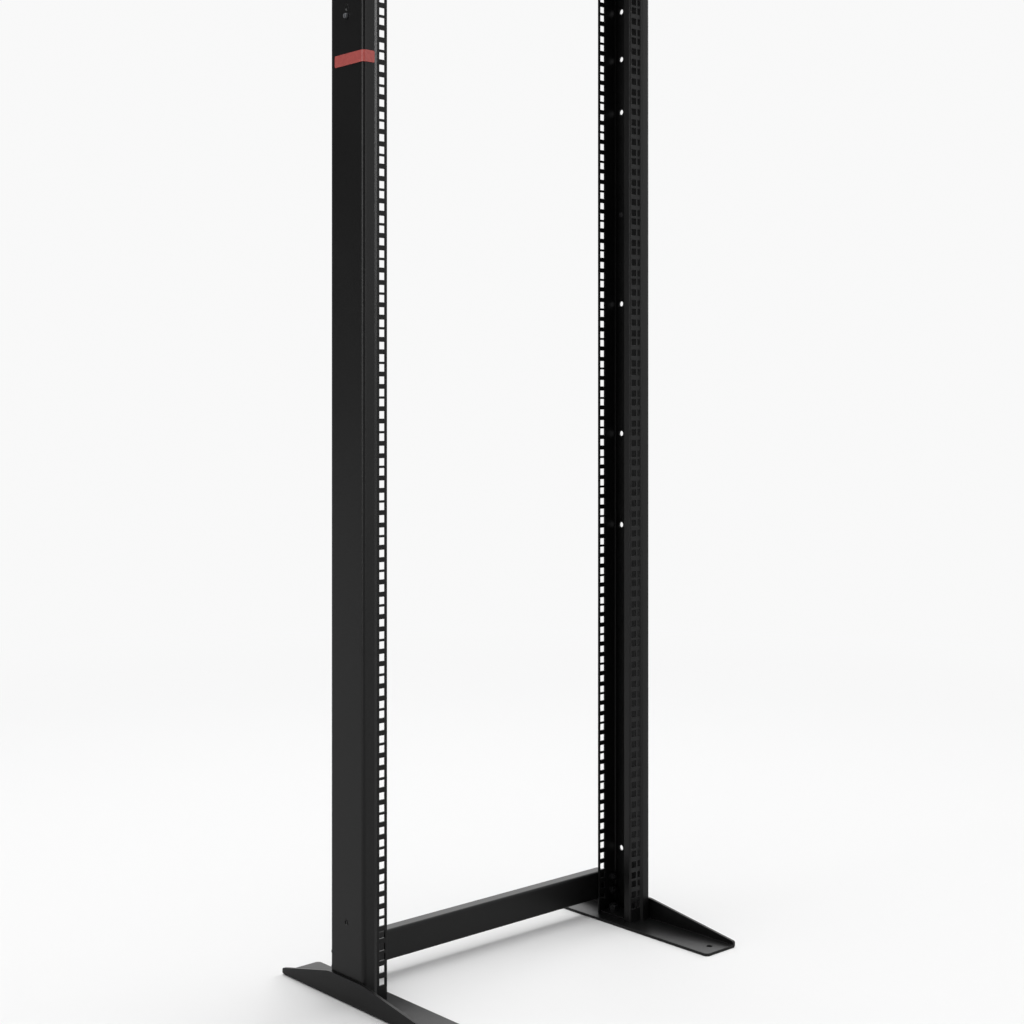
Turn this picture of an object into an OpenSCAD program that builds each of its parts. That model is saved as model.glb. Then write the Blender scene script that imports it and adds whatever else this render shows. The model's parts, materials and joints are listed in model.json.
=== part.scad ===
// Two-post open-frame relay rack for 19-inch equipment.
// Frame: origin on the floor at the centre of the footprint, X across the
// width, front towards -Y, Z up. All sizes are in millimetres.

/* [Rack] */
// Overall height from the floor to the top of the uprights
rack_h = 2134; // [1500:1:2400]
// Clear opening between the free edges of the left and right rails
opening_w = 450; // [448:0.5:456]

/* [Uprights] */
// Depth of each upright, front face to rear face
post_d = 72; // [70:1:100]
// Width of each upright, rail's free edge to outer face
post_w = 39.5; // [39.5:0.5:60]
// Distance of the uprights' middle behind the middle of the feet
set_back = 28; // [0:1:40]
// Sheet thickness of the uprights
sheet_t = 2.5; // [2:0.1:3]
// Outside bend radius of the uprights
bend_r = 5; // [3.2:0.1:6]
// Diameter of the accessory holes in the web
web_hole_d = 8; // [6:0.5:9]
// Heights of the accessory holes in the left web
left_web_holes = [103, 1279, 1860];
// Heights of the accessory holes in the right web
right_web_holes = [97, 586, 724, 920, 1055, 1210, 1290, 1362, 1680, 1990];
// Distance of the right web's hole row from the web's centre line
right_web_row = 21; // [0:1:22]

/* [Rails] */
// Sheet thickness of the perforated rails
rail_t = 2.5; // [2:0.1:3]
// Width of each rail, free edge to inner edge
rail_w = 33; // [32:0.5:34]
// Free edge to the upright's lip, on a rail with one row of holes
lip_single = 16.5; // [16.4:0.1:18]
// Free edge to the upright's lip, on a rail with two rows of holes
lip_double = 21; // [20.8:0.1:23]
// Width of the slope down to a rail with one row of holes
slope_single = 5.5; // [2:0.5:6]
// Width of the slope down to a rail with two rows of holes
slope_double = 4; // [2:0.5:5]
// Depth of the return flange on a rail with two rows
rail_return = 12; // [8:0.5:16]
// Side of the square equipment holes
hole_s = 9.5; // [9:0.1:9.6]
// Width of the slots in the second row
slot_w = 5; // [4:0.5:5.5]
// Distance from the square holes to the slots
slot_offset = 10.5; // [10.5:0.5:11]
// Height of the first rack unit above the floor
first_unit_z = 22; // [16:1:60]

/* [Feet] */
// Length of each foot, front to back
foot_len = 338; // [300:1:500]
// Width of each foot's plate
foot_w = 60; // [50:1:80]
// Sheet thickness of the feet
foot_t = 4; // [4:0.5:6]
// Height of the gusset beside the upright
gusset_h = 33; // [24:1:80]
// Height of the gusset at each end of the foot
gusset_end_h = 9; // [7:0.5:16]
// Radius of the knees in the gusset's top edge
gusset_knee_r = 40; // [10:1:80]
// Radius of the foot's corners
foot_corner_r = 6; // [3:0.5:12]
// Diameter of the floor anchor holes
anchor_d = 9; // [7:0.5:13]
// Distance of the anchor holes from the foot's end
anchor_inset = 20; // [14:1:30]
// Distance of the anchor holes from the foot's outer face
anchor_offset = 32; // [25:1:35]

/* [Crossbars] */
// Height of each crossbar
bar_h = 41; // [38:1:60]
// Depth of each crossbar
bar_d = 18; // [14:1:40]
// Sheet thickness of the crossbars
bar_t = 2.5; // [2:0.1:3]
// Outside bend radius of the crossbars
bar_bend_r = 3; // [3:0.1:4]
// Height of the bottom crossbar above the floor
bar_z = 23; // [18:0.5:80]
// Distance from the top of the uprights to the top crossbars
bar_top_gap = 4; // [0:1:40]
// Length of the flat tab at each end of a crossbar
tab_len = 15; // [15:0.5:20]

/* [Details] */
// Height of the badge's centre
badge_z = 1212; // [300:1:1450]
// Height of the badge, from its lower to its upper edge
badge_h = 15; // [10:0.5:30]
// Length of the badge on the web, from the upright's front bend
badge_web_len = 56; // [20:1:61]
// Length of the badge on the front flange, from the same bend
badge_flange_len = 12; // [5:0.5:14]
// Thickness of the badge
badge_t = 0.8; // [0.5:0.1:1.5]
// Height of the earthing screw
earth_z = 1268; // [300:1:1450]
// Height of the plug in the right web, in one of its accessory holes
plug_z = 1055; // [97, 586, 724, 920, 1055, 1210, 1290, 1362, 1680, 1990]

/* [Hidden] */

$fn = 48;
cut = 1;

// Rack-unit pattern of 19-inch equipment
unit_h = 44.45;
hole_pitch = 15.875;
hole_first = 6.35;
column_gap = 465.1 - 450;
units = floor((rack_h - first_unit_z) / unit_h);

// Planes of the right-hand upright, measured from the centre of the rack
rail_x = opening_w / 2;
hole_x = rail_x + column_gap / 2;
slot_x = hole_x + slot_offset;
web_x = rail_x + post_w;
web_in_x = web_x - sheet_t;
half_d = post_d / 2;
rail_out = half_d - sheet_t;
rail_in = rail_out - rail_t;
rail_bend_r = rail_t + 0.1;
lip_edge_t = 0.5;

// Free end of a flange: its lip from the rail's edge, and its slope's width
one_row_end = [lip_single, slope_single];
two_row_end = [lip_double, slope_double];
post_len = rack_h - foot_t;
foot_x = web_x + foot_t;

// From the middle of the uprights to each end of the feet
front_run = foot_len / 2 + set_back;
rear_run = foot_len / 2 - set_back;

// Heights and directions of the crossbars, +1 behind and -1 in front
bar_top_z = rack_h - bar_top_gap - bar_h;
bottom_bar = [bar_z, 1];
top_rear_bar = [bar_top_z, 1];
top_front_bar = [bar_top_z, -1];
bar_half_len = web_x - bend_r - 1;

// M6 bolts that hold the crossbars
bolt_r = 3;
bolt_hole_r = 3.3;
bolt_head_af = 10;
bolt_head_h = 4;
bolt_nut_h = 5;
bolt_washer_r = 6;
bolt_washer_t = 1.6;
bolt_tip = 1.4;
bolt_x = rail_x + rail_w - bolt_washer_r;
bolt_half_gap = 10;

// M8 countersunk screws that hold the uprights on the feet
screw_r = 4;
screw_hole_r = 4.3;
screw_head_r = 7.4;
screw_cone_h = screw_head_r - screw_r;
screw_recess = 0.2;
screw_nut_af = 13;
screw_nut_h = 6.5;
screw_washer_r = 8;
screw_washer_t = 1.6;
screw_tip = 2;
screw_x = (rail_x + rail_t + web_in_x) / 2;
screw_y = 20;
sole_t = 3;
sole_gap = 0.6;

// M4 earthing screw
earth_r = 2;
earth_hole_r = 2.2;
earth_head_r = 3.4;
earth_head_h = 2.4;
earth_washer_r = 4.6;
earth_washer_t = 0.8;
earth_nut_af = 7;
earth_nut_h = 3.2;

// Snap-in plug of an accessory hole
plug_gap = 0.05;
plug_flange_r = 5.5;
plug_flange_t = 1.2;
plug_nose = 0.4;

coat = "#2b2b2d";
coat_dark = "#1f1f21";
black_oxide = "#26262a";
zinc = "#b9bcc0";
red = "#c8463f";

// ---- Placing ----

// Children are drawn about the middle of the uprights and moved back to it
module at_posts() {
    translate([0, set_back, 0]) children();
}

// Children are drawn for the right-hand side; side -1 mirrors them
module at_side(side) {
    if (side < 0)
        mirror([1, 0, 0]) children();
    else
        children();
}

// Children on the axis of every bolt of one crossbar, +Z pointing away
// from the rack, measured from the middle of the upright's depth
module at_bar_bolts(bar) {
    for (side = [-1, 1], up = [-1, 1])
        translate([side * bolt_x, 0, bar[0] + bar_h / 2 + up * bolt_half_gap])
            rotate([-90 * bar[1], 0, 0]) children();
}

// Children on the axis of both screws of one foot, +Z up
module at_foot_screws(side) {
    for (y = [-screw_y, screw_y])
        translate([side * screw_x, y, 0]) children();
}

// Children on the axis of a hole through a web, +Z pointing out of the rack
module at_web(side, y, z) {
    translate([0, y, z]) rotate([0, 90 * side, 0]) children();
}

// ---- Standard hardware ----

// Hexagonal prism, with the corners of its top face turned off
module hex_body(af, h) {
    corner_r = af / 2 / cos(30);
    chamfer = corner_r - af / 2;
    intersection() {
        cylinder(r = corner_r, h = h, $fn = 6);
        union() {
            cylinder(r = corner_r + cut, h = h - chamfer);
            translate([0, 0, h - chamfer])
                cylinder(r1 = corner_r, r2 = af / 2 - chamfer * 0.2, h = chamfer);
        }
    }
}

// Hexagon bolt, head up, the underside of the head at z = 0
module hex_bolt(r, length, af, head_h) {
    hex_body(af, head_h);
    translate([0, 0, -length + r / 4]) cylinder(r = r, h = length - r / 4);
    translate([0, 0, -length]) cylinder(r1 = r * 0.75, r2 = r, h = r / 4);
}

module washer(r, hole_r, t) {
    difference() {
        cylinder(r = r, h = t);
        translate([0, 0, -cut]) cylinder(r = hole_r, h = t + 2 * cut);
    }
}

module hex_nut(r, af, h) {
    difference() {
        hex_body(af, h);
        translate([0, 0, -cut]) cylinder(r = r + 0.05, h = h + 2 * cut);
    }
}

// ---- Uprights ----

// Rectangle between x0 and x1 with its two corners on the +X side rounded
module web_block_2d(x0, x1, half_y, r) {
    translate([x0, -half_y]) square([x1 - x0 - r, 2 * half_y]);
    translate([x0, -half_y + r]) square([x1 - x0, 2 * (half_y - r)]);
    for (y = [-half_y + r, half_y - r])
        translate([x1 - r, y]) circle(r = r);
}

// Free end of a rear flange, sloping down to the rail
module flange_end_2d(end) {
    lip_x = rail_x + end[0];
    slope_x = lip_x + end[1];
    polygon([
        [lip_x, rail_out],
        [lip_x, rail_out + lip_edge_t],
        [slope_x, half_d],
        [slope_x, rail_out]
    ]);
}

// Section of the right-hand channel, with its flanges' free ends
module channel_2d(front_end, rear_end) {
    difference() {
        web_block_2d(rail_x, web_x, half_d, bend_r);
        web_block_2d(rail_x - cut, web_in_x, half_d - sheet_t, bend_r - sheet_t);
        translate([rail_x - cut, -half_d - cut])
            square([front_end[0] + front_end[1] + cut, half_d]);
        translate([rail_x - cut, cut])
            square([rear_end[0] + rear_end[1] + cut, half_d]);
    }
    mirror([0, 1]) flange_end_2d(front_end);
    flange_end_2d(rear_end);
}

module upright(front_end, rear_end) {
    translate([0, 0, foot_t]) linear_extrude(post_len) channel_2d(front_end, rear_end);
}

// Hole through a web, from inside the channel to outside the foot
module web_hole(side, y, z, r) {
    at_web(side, y, z) translate([0, 0, web_in_x - cut]) cylinder(r = r, h = sheet_t + 2 * cut);
}

// Bolt holes for one crossbar through flange, rail and crossbar tab
module bar_bolt_holes(bar) {
    at_bar_bolts(bar)
        translate([0, 0, rail_in - cut]) cylinder(r = bolt_hole_r, h = half_d + bar_t - rail_in + 2 * cut);
}

module upright_left() {
    color(coat) at_posts() difference() {
        at_side(-1) upright(one_row_end, two_row_end);
        for (z = left_web_holes)
            if (z < rack_h - bar_h) web_hole(-1, 0, z, web_hole_d / 2);
        web_hole(-1, 0, earth_z, earth_hole_r);
        bar_bolt_holes(bottom_bar);
        bar_bolt_holes(top_rear_bar);
        bar_bolt_holes(top_front_bar);
    }
}

module upright_right() {
    color(coat) at_posts() difference() {
        upright(two_row_end, one_row_end);
        for (z = right_web_holes)
            if (z < rack_h - bar_h) web_hole(1, right_web_row, z, web_hole_d / 2);
        bar_bolt_holes(bottom_bar);
        bar_bolt_holes(top_rear_bar);
        bar_bolt_holes(top_front_bar);
    }
}

// ---- Rails ----

// One column of openings at x, on the rack-unit pattern
module hole_column_2d(x, size) {
    for (u = [0 : units - 1], k = [0 : 2])
        translate([x, first_unit_z + u * unit_h + hole_first + k * hole_pitch])
            square(size, center = true);
}

// Face of a rail in X and Z, from x0 to its inner edge
module rail_face_2d(x0, two_rows, bars) {
    difference() {
        translate([x0, foot_t]) square([rail_x + rail_w - x0, post_len]);
        hole_column_2d(hole_x, [hole_s, hole_s]);
        if (two_rows) hole_column_2d(slot_x, [slot_w, hole_s]);
        for (bar = bars, up = [-1, 1])
            translate([bolt_x, bar[0] + bar_h / 2 + up * bolt_half_gap]) circle(r = bolt_hole_r);
    }
}

// Section of the return flange and its bend, in X and Y
module rail_return_2d() {
    translate([rail_x, rail_out - rail_return]) square([rail_t, rail_return - rail_bend_r]);
    translate([rail_x + rail_bend_r, rail_out - rail_bend_r]) intersection() {
        difference() {
            circle(r = rail_bend_r);
            circle(r = rail_bend_r - rail_t);
        }
        translate([-rail_bend_r, 0]) square(rail_bend_r);
    }
}

// Right-hand rear rail, flat and with one row of holes
module rail_single(bars) {
    translate([0, rail_out, 0]) rotate([90, 0, 0]) linear_extrude(rail_t)
        rail_face_2d(rail_x, false, bars);
}

// Right-hand rear rail with two rows of holes and a return flange
module rail_double(bars) {
    translate([0, rail_out, 0]) rotate([90, 0, 0]) linear_extrude(rail_t)
        rail_face_2d(rail_x + rail_bend_r, true, bars);
    translate([0, 0, foot_t]) linear_extrude(post_len) rail_return_2d();
}

module rail_front_left() {
    color(coat_dark) at_posts() mirror([0, 1, 0]) at_side(-1) rail_single([top_front_bar]);
}

module rail_rear_left() {
    color(coat) at_posts() at_side(-1) rail_double([bottom_bar, top_rear_bar]);
}

module rail_front_right() {
    color(coat) at_posts() mirror([0, 1, 0]) rail_double([top_front_bar]);
}

module rail_rear_right() {
    color(coat_dark) at_posts() rail_single([bottom_bar, top_rear_bar]);
}

// ---- Feet ----

// Points on an arc about [cx, cy] from angle a0 to a1
function arc(cx, cy, r, a0, a1, steps = 8) =
    [for (i = [0 : steps]) let (a = a0 + (a1 - a0) * i / steps) [cx + r * cos(a), cy + r * sin(a)]];

function reversed(list) = [for (i = [len(list) - 1 : -1 : 0]) list[i]];

// Top edge of the gusset from the middle of the uprights to an end of the
// foot, a run away: a knee beside the upright's face, then a rounded nose
function gusset_edge(run) =
    let (
        slope = atan((gusset_h - gusset_end_h) / (run - half_d)),
        knee_y = half_d - gusset_knee_r * tan(slope / 2),
        nose_r = foot_corner_r / 2,
        nose_z = gusset_end_h + nose_r * (tan(slope) - 1 / cos(slope))
    )
    concat(
        arc(knee_y, gusset_h - gusset_knee_r, gusset_knee_r, 90, 90 - slope),
        arc(run - nose_r, nose_z, nose_r, 90 - slope, 0)
    );

// Side view of a foot, in Y and Z, from the middle of the uprights
module foot_side_2d() {
    front_edge = [for (p = reversed(gusset_edge(front_run))) [-p[0], p[1]]];
    polygon(concat([[-front_run, 0]], front_edge, gusset_edge(rear_run), [[rear_run, 0]]));
}

// Section of a right-hand foot, in X and Z
module foot_section_2d() {
    translate([foot_x - foot_w, 0]) square([foot_w - foot_t, foot_t]);
    translate([web_x, foot_t]) square([foot_t, gusset_h]);
    intersection() {
        translate([web_x, 0]) square([foot_t, foot_t]);
        translate([web_x, foot_t]) circle(r = foot_t);
    }
}

// Plan view of a right-hand foot, its inner corners rounded
module foot_plan_2d() {
    half = foot_len / 2;
    r = foot_corner_r;
    translate([foot_x - foot_w, -half + r]) square([foot_w, foot_len - 2 * r]);
    translate([foot_x - foot_w + r, -half]) square([foot_w - r, foot_len]);
    for (y = [-half + r, half - r])
        translate([foot_x - foot_w + r, y]) circle(r = r);
}

// Countersunk clearance hole from below, +Z up
module countersink() {
    translate([0, 0, -cut]) cylinder(r = screw_hole_r, h = foot_t + 2 * cut);
    cylinder(r1 = screw_head_r + 0.2, r2 = screw_hole_r, h = screw_head_r + 0.2 - screw_hole_r);
    translate([0, 0, -cut]) cylinder(r = screw_head_r + 0.2, h = cut);
}

module foot(side) {
    color(coat) difference() {
        at_side(side) intersection() {
            rotate([90, 0, 0]) linear_extrude(foot_len + 2 * cut, center = true) foot_section_2d();
            at_posts() rotate([90, 0, 90]) linear_extrude(foot_x + cut) foot_side_2d();
            linear_extrude(gusset_h + cut) foot_plan_2d();
        }
        for (y = [-1, 1])
            translate([side * (foot_x - anchor_offset), y * (foot_len / 2 - anchor_inset), -cut])
                cylinder(r = anchor_d / 2, h = foot_t + 2 * cut);
        at_posts() at_foot_screws(side) countersink();
    }
}

module foot_left() {
    foot(-1);
}

module foot_right() {
    foot(1);
}

// Plate welded inside the bottom of an upright
module sole_plate(side) {
    x0 = rail_x + rail_t + sole_gap;
    color(coat_dark) at_posts() difference() {
        at_side(side) translate([x0, -rail_in + sole_gap, foot_t])
            cube([web_in_x - x0, 2 * (rail_in - sole_gap), sole_t]);
        at_foot_screws(side)
            translate([0, 0, foot_t - cut]) cylinder(r = screw_hole_r, h = sole_t + 2 * cut);
    }
}

module sole_plate_left() {
    sole_plate(-1);
}

module sole_plate_right() {
    sole_plate(1);
}

// ---- Crossbars ----

// Section of a crossbar: away from the upright's face, and up
module bar_2d() {
    inner_r = bar_bend_r - bar_t;
    difference() {
        union() {
            translate([bar_bend_r, 0]) square([bar_d - bar_bend_r, bar_h]);
            translate([0, bar_bend_r]) square([bar_d, bar_h - 2 * bar_bend_r]);
            for (z = [bar_bend_r, bar_h - bar_bend_r])
                translate([bar_bend_r, z]) circle(r = bar_bend_r);
        }
        translate([bar_t + inner_r, bar_t]) square([bar_d, bar_h - 2 * bar_t]);
        translate([bar_t, bar_t + inner_r]) square([bar_d, bar_h - 2 * (bar_t + inner_r)]);
        for (z = [bar_t + inner_r, bar_h - bar_t - inner_r])
            translate([bar_t + inner_r, z]) circle(r = inner_r);
    }
}

module crossbar(bar) {
    color(coat) at_posts() difference() {
        translate([0, bar[1] * half_d, bar[0]]) mirror([0, bar[1] < 0 ? 1 : 0, 0])
            difference() {
                rotate([90, 0, 90]) linear_extrude(2 * bar_half_len, center = true) bar_2d();
                for (side = [-1, 1])
                    translate([side * bar_half_len, bar_bend_r + bar_d / 2, bar_h / 2])
                        cube([2 * tab_len, bar_d, bar_h + 2 * cut], center = true);
            }
        bar_bolt_holes(bar);
    }
}

module crossbar_bottom() {
    crossbar(bottom_bar);
}

module crossbar_top_rear() {
    crossbar(top_rear_bar);
}

module crossbar_top_front() {
    crossbar(top_front_bar);
}

// ---- Crossbar fasteners ----

bolt_seat = half_d + bar_t + bolt_washer_t;
bolt_nut_seat = rail_in - bolt_washer_t - bolt_nut_h;

module bar_bolts(bar) {
    color(black_oxide) at_posts() at_bar_bolts(bar) translate([0, 0, bolt_seat])
        hex_bolt(bolt_r, bolt_seat - bolt_nut_seat + bolt_tip, bolt_head_af, bolt_head_h);
}

module bar_washers(bar) {
    color(black_oxide) at_posts() at_bar_bolts(bar)
        for (z = [half_d + bar_t, rail_in - bolt_washer_t])
            translate([0, 0, z]) washer(bolt_washer_r, bolt_hole_r, bolt_washer_t);
}

module bar_nuts(bar) {
    color(black_oxide) at_posts() at_bar_bolts(bar) translate([0, 0, bolt_nut_seat + bolt_nut_h])
        mirror([0, 0, 1]) hex_nut(bolt_r, bolt_head_af, bolt_nut_h);
}

module bottom_bar_bolts() {
    bar_bolts(bottom_bar);
}

module bottom_bar_washers() {
    bar_washers(bottom_bar);
}

module bottom_bar_nuts() {
    bar_nuts(bottom_bar);
}

module top_rear_bar_bolts() {
    bar_bolts(top_rear_bar);
}

module top_rear_bar_washers() {
    bar_washers(top_rear_bar);
}

module top_rear_bar_nuts() {
    bar_nuts(top_rear_bar);
}

module top_front_bar_bolts() {
    bar_bolts(top_front_bar);
}

module top_front_bar_washers() {
    bar_washers(top_front_bar);
}

module top_front_bar_nuts() {
    bar_nuts(top_front_bar);
}

// ---- Foot fasteners ----

sole_top = foot_t + sole_t;
screw_len = sole_top + screw_washer_t + screw_nut_h + screw_tip;

// Countersunk screw, flush under the foot, with a socket in its head
module foot_screws(side) {
    socket_r = 2.9;
    socket_h = 2.5;
    color(black_oxide) at_posts() at_foot_screws(side) difference() {
        union() {
            translate([0, 0, screw_recess])
                cylinder(r1 = screw_head_r, r2 = screw_r, h = screw_cone_h);
            translate([0, 0, screw_recess + screw_cone_h - cut])
                cylinder(r = screw_r, h = screw_len - screw_recess - screw_cone_h + cut);
        }
        cylinder(r = socket_r, h = screw_recess + socket_h, $fn = 6);
    }
}

module foot_washers(side) {
    color(black_oxide) at_posts() at_foot_screws(side)
        translate([0, 0, sole_top]) washer(screw_washer_r, screw_hole_r, screw_washer_t);
}

module foot_nuts(side) {
    color(black_oxide) at_posts() at_foot_screws(side)
        translate([0, 0, sole_top + screw_washer_t]) hex_nut(screw_r, screw_nut_af, screw_nut_h);
}

module foot_screws_left() {
    foot_screws(-1);
}

module foot_washers_left() {
    foot_washers(-1);
}

module foot_nuts_left() {
    foot_nuts(-1);
}

module foot_screws_right() {
    foot_screws(1);
}

module foot_washers_right() {
    foot_washers(1);
}

module foot_nuts_right() {
    foot_nuts(1);
}

// ---- Details on the webs ----

// One straight wing of the badge, its far corners rounded
module badge_wing_2d(length) {
    r = 2;
    translate([0, -badge_h / 2]) square([length - r, badge_h]);
    translate([0, -badge_h / 2 + r]) square([length, badge_h - 2 * r]);
    for (y = [-1, 1])
        translate([length - r, y * (badge_h / 2 - r)]) circle(r = r);
}

// Plain badge wrapped round the front bend of the left upright
module badge() {
    bend_y = -half_d + bend_r;
    color(red) at_posts() at_side(-1) translate([web_x - bend_r, bend_y, badge_z]) {
        translate([bend_r, 0, 0]) rotate([90, 0, 90]) linear_extrude(badge_t)
            badge_wing_2d(badge_web_len);
        translate([0, -bend_r, 0]) mirror([1, 0, 0]) rotate([90, 0, 0]) linear_extrude(badge_t)
            badge_wing_2d(badge_flange_len);
        translate([0, 0, -badge_h / 2]) linear_extrude(badge_h) intersection() {
            difference() {
                circle(r = bend_r + badge_t);
                circle(r = bend_r);
            }
            translate([0, -bend_r - badge_t]) square(bend_r + badge_t);
        }
    }
}

// Cheese-head screw with a straight slot, through a washer and the web
module earth_screw() {
    slot_t = 1.2;
    color(zinc) at_posts() at_web(-1, 0, earth_z) translate([0, 0, web_x + earth_washer_t]) difference() {
        union() {
            cylinder(r = earth_head_r, h = earth_head_h);
            translate([0, 0, -earth_washer_t - sheet_t - earth_nut_h - 2])
                cylinder(r = earth_r, h = earth_washer_t + sheet_t + earth_nut_h + 2 + cut);
        }
        translate([-earth_head_r - cut, -slot_t / 2, earth_head_h / 2])
            cube([2 * (earth_head_r + cut), slot_t, earth_head_h]);
    }
}

module earth_washer() {
    color(black_oxide) at_posts() at_web(-1, 0, earth_z) translate([0, 0, web_x])
        washer(earth_washer_r, earth_hole_r, earth_washer_t);
}

module earth_nut() {
    color(zinc) at_posts() at_web(-1, 0, earth_z) translate([0, 0, web_in_x])
        mirror([0, 0, 1]) hex_nut(earth_r, earth_nut_af, earth_nut_h);
}

// Plug in an accessory hole of the right web, its flange outside
module web_plug() {
    body_r = web_hole_d / 2 - plug_gap;
    color(coat_dark) at_posts() at_web(1, right_web_row, plug_z) {
        translate([0, 0, web_in_x - plug_nose]) cylinder(r = body_r, h = sheet_t + plug_nose);
        translate([0, 0, web_x]) cylinder(r1 = plug_flange_r, r2 = plug_flange_r - 0.8, h = plug_flange_t);
    }
}

upright_left();
upright_right();
rail_front_left();
rail_rear_left();
rail_front_right();
rail_rear_right();
foot_left();
foot_right();
sole_plate_left();
sole_plate_right();
crossbar_bottom();
crossbar_top_rear();
crossbar_top_front();
bottom_bar_bolts();
bottom_bar_washers();
bottom_bar_nuts();
top_rear_bar_bolts();
top_rear_bar_washers();
top_rear_bar_nuts();
top_front_bar_bolts();
top_front_bar_washers();
top_front_bar_nuts();
foot_screws_left();
foot_washers_left();
foot_nuts_left();
foot_screws_right();
foot_washers_right();
foot_nuts_right();
badge();
earth_screw();
earth_washer();
earth_nut();
web_plug();
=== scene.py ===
"""Looks of the two-post relay rack: the camera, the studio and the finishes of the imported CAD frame.

Everything is in metres, in the row frame: X across the rack, front towards -Y, Z up from the floor.
"""
import json
import math

import bpy
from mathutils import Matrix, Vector

# Camera, as a photographer stood: ahead of the rack and to its left, at hip height
CAMERA_PLACE = (-1.488, -1.651, 0.774)
CAMERA_HEADING = math.radians(41.95)
CAMERA_LENS = 56.55
CAMERA_SHIFT = -0.109
CAMERA_REACH = 200.0

# White backdrop, and a floor that is matt paint near the rack and backdrop further out
BACKDROP = (0.945, 0.945, 0.945, 1.0)
FLOOR_RADIUS = 60.0
FLOOR_CORNERS = 96
FLOOR_NEAR = 1.3
FLOOR_FAR = 3.2
FLOOR_PAINT = 0.84
FLOOR_BOUNCE = 0.46

# Soft box over the rack
TOP_PLACE = (0.0, 0.2, 3.6)
TOP_AIM = (0.0, 0.0, 0.0)
TOP_WIDTH = 3.0
TOP_DEPTH = 2.4
TOP_WATTS = 28.0

# Soft glows round the studio: heading from +Y towards +X and height in degrees, tightness, strength
GLOWS = (
    (135, 10, 10.0, 0.65),
    (330, 8, 10.0, 0.1),
    (45, 12, 12.0, 1.2),
    (20, 40, 8.0, 0.7),
    (88, 22, 40.0, 9.0),
    (275, 6, 30.0, 4.0),
    (175, 6, 30.0, 2.0),
    (0, 90, 6.0, 2.5),
)

# Rounding of the coated sheet's edges and of the turned fasteners' edges
COAT_EDGE = 0.001
TURNED_EDGE = 0.0003

# Cosines of the angle that the rounding turns the coat by: where the paler edge, partly rubbed wear and
# partly painted highlight, starts and where it is full
WEAR_AND_HIGHLIGHT_STARTS = 0.97
WEAR_AND_HIGHLIGHT_IS_FULL = 0.80

# In the coat's clouding, where a patch of the paler edge (rubbed wear and painted highlight) begins,
# where it is full and what is left outside it
PATCH_STARTS = 0.35
PATCH_IS_FULL = 0.60
PATCH_LEAST = 0.3

# How far the clouding takes the coat's roughness either way
CLOUD_SPREAD = 0.07


# ---- Node helpers ----

def new_tree(owner):
    """Clears an owner's node tree and returns its nodes and a link function."""
    owner.use_nodes = True
    tree = owner.node_tree
    tree.nodes.clear()
    return tree.nodes, tree.links.new


def add(nodes, kind, **values):
    """Adds a node; each keyword sets a property, or an input when it names a socket."""
    node = nodes.new(kind)
    for key, value in values.items():
        name = key.replace("_", " ")
        if name in node.inputs:
            node.inputs[name].default_value = value
        else:
            setattr(node, key, value)
    return node


def feed(link, value, socket):
    """Links a value that comes out of a node, and sets one that is the same all over."""
    if isinstance(value, bpy.types.NodeSocket):
        link(value, socket)
    else:
        socket.default_value = value


# ---- Material helpers ----

def new_material(name):
    """Returns a new material, its nodes, a link function and the piece's own coordinates in metres."""
    material = bpy.data.materials.new(name)
    nodes, link = new_tree(material)
    place = add(nodes, "ShaderNodeTexCoord").outputs["Object"]
    return material, nodes, link, place


def noise(nodes, link, place, scale, detail, roughness=0.5):
    """Soft blotches, about as many to the metre as the scale says."""
    texture = add(nodes, "ShaderNodeTexNoise", Scale=scale, Detail=detail, Roughness=roughness)
    link(place, texture.inputs["Vector"])
    return texture.outputs["Fac"]


def blend(nodes, link, amount, first, second):
    """Runs from the first colour to the second as the amount goes from 0 to 1."""
    mix = add(nodes, "ShaderNodeMix", data_type="RGBA")
    link(amount, mix.inputs["Factor"])
    feed(link, first, mix.inputs["A"])
    feed(link, second, mix.inputs["B"])
    return mix.outputs["Result"]


def between(nodes, link, amount, low, high):
    """Runs from the low value to the high one as the amount goes from 0 to 1."""
    span = add(nodes, "ShaderNodeMapRange", To_Min=low, To_Max=high)
    link(amount, span.inputs["Value"])
    return span.outputs["Result"]


def rounded(nodes, radius):
    """The surface's normal with its edges rounded."""
    return add(nodes, "ShaderNodeBevel", samples=4, Radius=radius).outputs["Normal"]


def bump(nodes, link, height, strength, distance, under=None):
    """Dents the surface by a texture, over the normal that is under it."""
    dents = add(nodes, "ShaderNodeBump", Strength=strength, Distance=distance)
    link(height, dents.inputs["Height"])
    if under is not None:
        link(under, dents.inputs["Normal"])
    return dents.outputs["Normal"]


def surface(nodes, link, tone, roughness, normal, **values):
    """Ends a material with a principled shader; each keyword sets one of its inputs."""
    shader = add(nodes, "ShaderNodeBsdfPrincipled", **values)
    link(tone, shader.inputs["Base Color"])
    feed(link, roughness, shader.inputs["Roughness"])
    link(normal, shader.inputs["Normal"])
    out = add(nodes, "ShaderNodeOutputMaterial")
    link(shader.outputs["BSDF"], out.inputs["Surface"])


# ---- Camera and studio ----

def make_camera():
    """Stands the camera level, with its picture shifted down to take in the feet."""
    data = bpy.data.cameras.new("camera")
    data.lens = CAMERA_LENS
    data.shift_y = CAMERA_SHIFT
    data.clip_end = CAMERA_REACH
    camera = bpy.data.objects.new("camera", data)
    camera.location = CAMERA_PLACE
    camera.rotation_euler = (math.radians(90), 0.0, -CAMERA_HEADING)
    bpy.context.scene.collection.objects.link(camera)
    bpy.context.scene.camera = camera


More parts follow.
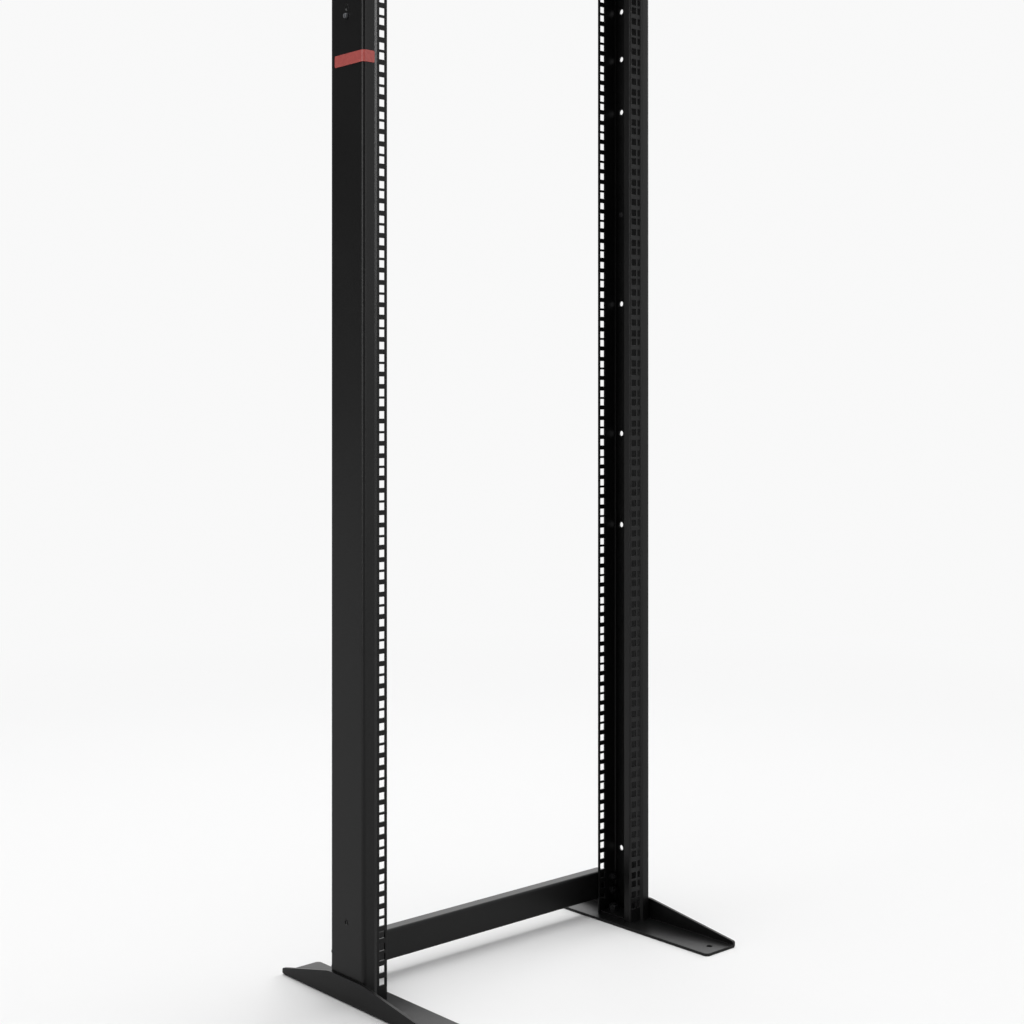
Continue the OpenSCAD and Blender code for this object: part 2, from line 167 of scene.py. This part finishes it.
def make_top_light():
    """Hangs the soft box over the rack."""
    data = bpy.data.lights.new("soft_top", "AREA")
    data.shape = "RECTANGLE"
    data.size = TOP_WIDTH
    data.size_y = TOP_DEPTH
    data.energy = TOP_WATTS
    light = bpy.data.objects.new("soft_top", data)
    light.location = TOP_PLACE
    aim = Vector(TOP_AIM) - Vector(TOP_PLACE)
    light.rotation_euler = aim.to_track_quat("-Z", "Y").to_euler()
    bpy.context.scene.collection.objects.link(light)


def towards(heading, height):
    """The direction of a heading from +Y towards +X and a height over the floor, both in degrees."""
    return Vector((
        math.sin(math.radians(heading)) * math.cos(math.radians(height)),
        math.cos(math.radians(heading)) * math.cos(math.radians(height)),
        math.sin(math.radians(height)),
    ))


def all_glows(nodes, link):
    """Adds up the studio's glows, each brightest in its own direction."""
    direction = add(nodes, "ShaderNodeTexCoord").outputs["Generated"]
    total = 0.0
    for heading, height, tightness, strength in GLOWS:
        facing = add(nodes, "ShaderNodeVectorMath", operation="DOT_PRODUCT")
        link(direction, facing.inputs[0])
        facing.inputs[1].default_value = towards(heading, height)
        front = add(nodes, "ShaderNodeMath", operation="MAXIMUM")
        link(facing.outputs["Value"], front.inputs[0])
        front.inputs[1].default_value = 0.0
        falloff = add(nodes, "ShaderNodeMath", operation="POWER")
        link(front.outputs["Value"], falloff.inputs[0])
        falloff.inputs[1].default_value = tightness
        glow = add(nodes, "ShaderNodeMath", operation="MULTIPLY_ADD")
        link(falloff.outputs["Value"], glow.inputs[0])
        glow.inputs[1].default_value = strength
        feed(link, total, glow.inputs[2])
        total = glow.outputs["Value"]
    return total


def make_world():
    """White to look at; it lights the rack with a few broad glows round the studio."""
    world = bpy.data.worlds.new("studio")
    bpy.context.scene.world = world
    nodes, link = new_tree(world)
    light = add(nodes, "ShaderNodeBackground")
    link(all_glows(nodes, link), light.inputs["Color"])
    seen = add(nodes, "ShaderNodeBackground", Color=BACKDROP)
    path = add(nodes, "ShaderNodeLightPath")
    mix = add(nodes, "ShaderNodeMixShader")
    link(path.outputs["Is Camera Ray"], mix.inputs["Fac"])
    link(light.outputs["Background"], mix.inputs[1])
    link(seen.outputs["Background"], mix.inputs[2])
    out = add(nodes, "ShaderNodeOutputWorld")
    link(mix.outputs["Shader"], out.inputs["Surface"])


def floor_material():
    """Matt pale paint near the rack that turns into the backdrop's white further out.

    Reflections and bounced light see it dimmer than the camera does, as under a cut-out product shot.
    """
    material, nodes, link, place = new_material("studio_floor")
    length = add(nodes, "ShaderNodeVectorMath", operation="LENGTH")
    link(place, length.inputs[0])
    far = add(nodes, "ShaderNodeMapRange", interpolation_type="SMOOTHSTEP", From_Min=FLOOR_NEAR,
              From_Max=FLOOR_FAR)
    link(length.outputs["Value"], far.inputs["Value"])
    path = add(nodes, "ShaderNodeLightPath")
    dim = between(nodes, link, path.outputs["Is Camera Ray"], low=FLOOR_BOUNCE, high=1.0)
    tone = add(nodes, "ShaderNodeMath", operation="MULTIPLY")
    link(dim, tone.inputs[0])
    tone.inputs[1].default_value = FLOOR_PAINT
    paint = add(nodes, "ShaderNodeBsdfDiffuse")
    link(tone.outputs["Value"], paint.inputs["Color"])
    glow = add(nodes, "ShaderNodeEmission", Color=BACKDROP)
    link(dim, glow.inputs["Strength"])
    mix = add(nodes, "ShaderNodeMixShader")
    link(far.outputs["Result"], mix.inputs["Fac"])
    link(paint.outputs["BSDF"], mix.inputs[1])
    link(glow.outputs["Emission"], mix.inputs[2])
    out = add(nodes, "ShaderNodeOutputMaterial")
    link(mix.outputs["Shader"], out.inputs["Surface"])
    return material


def make_floor():
    """Lays the studio floor, wide enough to reach the horizon."""
    bpy.ops.mesh.primitive_circle_add(vertices=FLOOR_CORNERS, radius=FLOOR_RADIUS, fill_type="NGON")
    floor = bpy.context.object
    floor.name = "studio_floor"
    floor.data.materials.append(floor_material())


def make_studio():
    """Sets up everything round the rack except the camera."""
    bpy.context.scene.view_settings.view_transform = "Standard"
    make_world()
    make_floor()
    make_top_light()


# ---- Materials ----

def edge_wear_and_highlight(nodes, link, cloud):
    """How much the coat is painted paler along the edges, in patches and not at all on the flats:
    partly rubbed wear, partly a painted highlight.
    """
    face = add(nodes, "ShaderNodeNewGeometry")
    facing = add(nodes, "ShaderNodeVectorMath", operation="DOT_PRODUCT")
    link(rounded(nodes, COAT_EDGE), facing.inputs[0])
    link(face.outputs["Normal"], facing.inputs[1])
    along = add(nodes, "ShaderNodeMapRange", From_Min=WEAR_AND_HIGHLIGHT_STARTS, From_Max=WEAR_AND_HIGHLIGHT_IS_FULL)
    link(facing.outputs["Value"], along.inputs["Value"])
    patchy = add(nodes, "ShaderNodeMapRange", From_Min=PATCH_STARTS, From_Max=PATCH_IS_FULL,
                 To_Min=PATCH_LEAST)
    link(cloud, patchy.inputs["Value"])
    # Painted highlight and rubbed wear along the edges, broken into patches
    wear_and_highlight = add(nodes, "ShaderNodeMath", operation="MULTIPLY")
    link(along.outputs["Result"], wear_and_highlight.inputs[0])
    link(patchy.outputs["Result"], wear_and_highlight.inputs[1])
    return wear_and_highlight.outputs["Value"]


def powder_coat(name, roughness, gloss):
    """Satin black powder coat: orange peel, faint clouding, rounded edges painted paler, partly as
    rubbed wear and partly as a painted highlight.
    """
    material, nodes, link, place = new_material(name)
    peel = noise(nodes, link, place, scale=650.0, detail=3.0, roughness=0.55)
    grain = noise(nodes, link, place, scale=2600.0, detail=2.0, roughness=0.6)
    cloud = noise(nodes, link, place, scale=7.0, detail=5.0, roughness=0.6)
    black = (0.0028, 0.0028, 0.0029, 1.0)
    speck = (0.0044, 0.0044, 0.0045, 1.0)
    # Paler edge colour: partly rubbed coat, partly a painted highlight standing in for light caught on
    # the edges
    scuff_and_highlight = (0.045, 0.045, 0.046, 1.0)
    coat = blend(nodes, link, grain, black, speck)
    # The edges are painted paler: rubbed wear and a painted highlight
    rubbed = blend(nodes, link, edge_wear_and_highlight(nodes, link, cloud), coat, scuff_and_highlight)
    rough = between(nodes, link, cloud, roughness - CLOUD_SPREAD, roughness + CLOUD_SPREAD)
    fine = bump(nodes, link, grain, strength=0.25, distance=0.00008, under=rounded(nodes, COAT_EDGE))
    normal = bump(nodes, link, peel, strength=0.35, distance=0.0002, under=fine)
    surface(nodes, link, rubbed, rough, normal, Specular_IOR_Level=gloss)
    return material


def black_oxide():
    """Oil-dark oxide on turned steel: worn grey patches and fine turning marks."""
    material, nodes, link, place = new_material("black_oxide")
    worn = noise(nodes, link, place, scale=240.0, detail=5.0, roughness=0.7)
    marks = noise(nodes, link, place, scale=1500.0, detail=2.0)
    black = (0.006, 0.006, 0.007, 1.0)
    grey = (0.020, 0.020, 0.021, 1.0)
    tone = blend(nodes, link, worn, black, grey)
    rough = between(nodes, link, worn, low=0.24, high=0.50)
    normal = bump(nodes, link, marks, strength=0.3, distance=0.00006, under=rounded(nodes, TURNED_EDGE))
    surface(nodes, link, tone, rough, normal, Metallic=0.35)
    return material


def black_nylon():
    """Moulded black nylon: a dull, finely spark-eroded skin with paler rubbed spots."""
    material, nodes, link, place = new_material("black_nylon")
    skin = noise(nodes, link, place, scale=3200.0, detail=3.0, roughness=0.6)
    rubbed = noise(nodes, link, place, scale=380.0, detail=2.0)
    black = (0.010, 0.010, 0.011, 1.0)
    paler = (0.024, 0.024, 0.025, 1.0)
    tone = blend(nodes, link, rubbed, black, paler)
    normal = bump(nodes, link, skin, strength=0.5, distance=0.00006)
    surface(nodes, link, tone, roughness=0.52, normal=normal)
    return material


def zinc_plate():
    """Bright zinc on turned steel, with fine scratches and dull patches."""
    material, nodes, link, place = new_material("zinc_plate")
    patch = noise(nodes, link, place, scale=300.0, detail=4.0, roughness=0.65)
    scratch = noise(nodes, link, place, scale=1800.0, detail=3.0, roughness=0.7)
    dull = (0.46, 0.47, 0.49, 1.0)
    bright = (0.70, 0.71, 0.74, 1.0)
    tone = blend(nodes, link, patch, dull, bright)
    rough = between(nodes, link, patch, low=0.22, high=0.48)
    normal = bump(nodes, link, scratch, strength=0.3, distance=0.00005)
    surface(nodes, link, tone, rough, normal, Metallic=1.0)
    return material


def red_enamel():
    """Semi-gloss red with a little mottling."""
    material, nodes, link, place = new_material("red_enamel")
    mottle = noise(nodes, link, place, scale=420.0, detail=3.0)
    deep_red = (0.55, 0.10, 0.09, 1.0)
    pale_red = (0.75, 0.17, 0.15, 1.0)
    tone = blend(nodes, link, mottle, deep_red, pale_red)
    normal = bump(nodes, link, mottle, strength=0.15, distance=0.0001)
    surface(nodes, link, tone, roughness=0.3, normal=normal)
    return material


def paint_nodes(nodes, subparts):
    """Gives every CAD node its finish, by the record's material slot."""
    finishes = {
        "black_powder_coat": powder_coat("black_powder_coat", roughness=0.33, gloss=0.5),
        "rail_powder_coat": powder_coat("rail_powder_coat", roughness=0.36, gloss=0.4),
        "black_oxide": black_oxide(),
        "black_nylon": black_nylon(),
        "zinc_plated": zinc_plate(),
        "badge_red": red_enamel(),
    }
    for part in subparts:
        piece = nodes[part["node"]]
        piece.data.materials.clear()
        piece.data.materials.append(finishes[part["material_slot"]])


# ---- Build ----

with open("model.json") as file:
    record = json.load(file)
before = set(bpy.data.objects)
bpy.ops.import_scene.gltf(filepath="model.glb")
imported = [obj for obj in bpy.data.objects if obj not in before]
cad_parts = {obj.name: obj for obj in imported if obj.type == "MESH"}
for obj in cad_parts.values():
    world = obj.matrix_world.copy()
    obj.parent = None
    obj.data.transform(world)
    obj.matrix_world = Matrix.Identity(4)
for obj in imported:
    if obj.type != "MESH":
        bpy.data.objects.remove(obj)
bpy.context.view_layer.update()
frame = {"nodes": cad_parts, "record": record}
make_camera()
make_studio()
paint_nodes(frame["nodes"], frame["record"]["subparts"])
